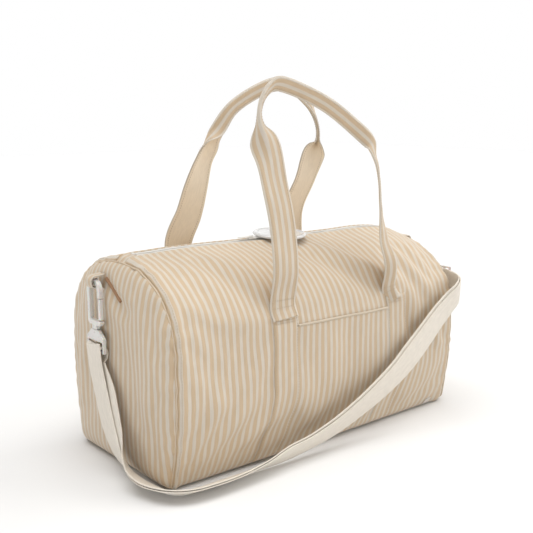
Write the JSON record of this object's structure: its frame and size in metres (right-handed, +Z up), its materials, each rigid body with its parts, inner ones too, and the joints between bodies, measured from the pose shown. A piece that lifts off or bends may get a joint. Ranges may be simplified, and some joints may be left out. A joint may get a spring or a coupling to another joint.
{
  "type": "weekender duffel bag",
  "caption": "Soft barrel-topped duffel bag with two carry handles, a zip along the crest, a slip pocket and a webbing shoulder strap on snap hooks.",
  "frame": {"origin": "middle of the flat base, on the surface the bag stands on", "axes": "+X along the bag towards the end where the strap's adjuster is, -Y towards the pocket side, +Z up"},
  "size_m": [0.5412, 0.2667, 0.4553],
  "materials": {
    "stripe_fabric": "cream and tan striped woven fabric with a soft sheen",
    "plain_fabric": "plain beige woven fabric",
    "lining_fabric": "plain lining fabric",
    "hem_binding": "cream folded binding",
    "webbing": "off-white woven webbing",
    "zip_tape": "off-white woven zip tape",
    "zip_plastic": "off-white moulded plastic",
    "white_plastic": "glossy white moulded plastic",
    "hook_plastic": "slightly translucent white moulded plastic",
    "board": "stiff fibre board",
    "label": "blank woven label"
  },
  "bodies": {
    "bag": {"front_panel": "stripe_fabric", "back_panel": "stripe_fabric", "base_panel": "stripe_fabric", "end_panel_left": "stripe_fabric", "end_panel_right": "stripe_fabric", "end_seam_left": "stripe_fabric", "end_seam_right": "stripe_fabric", "lining": "lining_fabric", "base_board": "board", "zip_tape_front": "zip_tape", "zip_coil_front": "zip_plastic", "zip_tape_back": "zip_tape", "zip_coil_back": "zip_plastic", "zip_stop_left": "zip_plastic", "zip_stop_right": "zip_plastic", "zip_end_patch_left": "stripe_fabric", "zip_end_patch_right": "stripe_fabric", "front_band_left": "stripe_fabric", "front_band_right": "stripe_fabric", "back_band_left": "stripe_fabric", "back_band_right": "stripe_fabric", "front_pocket": "stripe_fabric", "pocket_hem": "hem_binding", "end_tab_left": "stripe_fabric", "end_tab_right": "stripe_fabric", "seam_label": "label", "hook_left_base": "hook_plastic", "hook_right_base": "hook_plastic", "strap_outer": "webbing", "strap_inner": "webbing", "strap_adjuster": "hook_plastic"},
    "front_handle": {"handle_front": "stripe_fabric", "handle_front_lining": "plain_fabric"},
    "back_handle": {"handle_back": "stripe_fabric", "handle_back_lining": "plain_fabric"},
    "left_zip_slider": {"zip_slider_left": "zip_plastic"},
    "left_zip_pull": {"zip_pull_left": "zip_plastic"},
    "right_zip_slider": {"zip_slider_right": "zip_plastic", "top_disc": "white_plastic", "top_disc_boss": "white_plastic"},
    "left_hook": {"hook_left_body": "hook_plastic"},
    "left_hook_gate": {"hook_left_gate": "hook_plastic"},
    "right_hook": {"hook_right_body": "hook_plastic"},
    "right_hook_gate": {"hook_right_gate": "hook_plastic"}
  },
  "joints": [
    {"name": "front_handle_fold", "type": "hinge", "parent": "bag", "child": "front_handle", "pos_m": [0.0175, -0.11215, 0.178], "axis": [0.9995, 0.032, 0], "range_deg": [-12, 110]},
    {"name": "back_handle_fold", "type": "hinge", "parent": "bag", "child": "back_handle", "pos_m": [0.0175, 0.11215, 0.178], "axis": [-0.9995, 0.032, 0], "range_deg": [-9, 110]},
    {"name": "left_zip_slide", "type": "slide", "parent": "bag", "child": "left_zip_slider", "axis": [-1, 0, 0], "range_m": [0, 0.164]},
    {"name": "left_pull_lift", "type": "hinge", "parent": "left_zip_slider", "child": "left_zip_pull", "pos_m": [-0.044, 0, 0.2562], "axis": [0, 1, 0], "range_deg": [0, 95]},
    {"name": "right_zip_slide", "type": "slide", "parent": "bag", "child": "right_zip_slider", "axis": [1, 0, 0], "range_m": [0, 0.194]},
    {"name": "left_hook_swivel", "type": "hinge", "parent": "bag", "child": "left_hook", "pos_m": [-0.256, 0.022, 0.16], "axis": [0, 0, 1], "range_deg": [-10, 10]},
    {"name": "left_gate_press", "type": "hinge", "parent": "left_hook", "child": "left_hook_gate", "pos_m": [-0.256, 0.0099, 0.18], "axis": [-1, 0, 0], "range_deg": [0, 25], "stiffness_Nm_per_rad": 0.03, "springref_deg": -17.19},
    {"name": "right_hook_swivel", "type": "hinge", "parent": "bag", "child": "right_hook", "pos_m": [0.256, 0.01, 0.21], "axis": [0, 0.766, 0.6428], "range_deg": [-10, 10]},
    {"name": "right_gate_press", "type": "hinge", "parent": "right_hook", "child": "right_hook_gate", "pos_m": [0.256, -0.00521, 0.18145], "axis": [1, 0, 0], "range_deg": [0, 25], "stiffness_Nm_per_rad": 0.03, "springref_deg": -17.19}
  ]
}
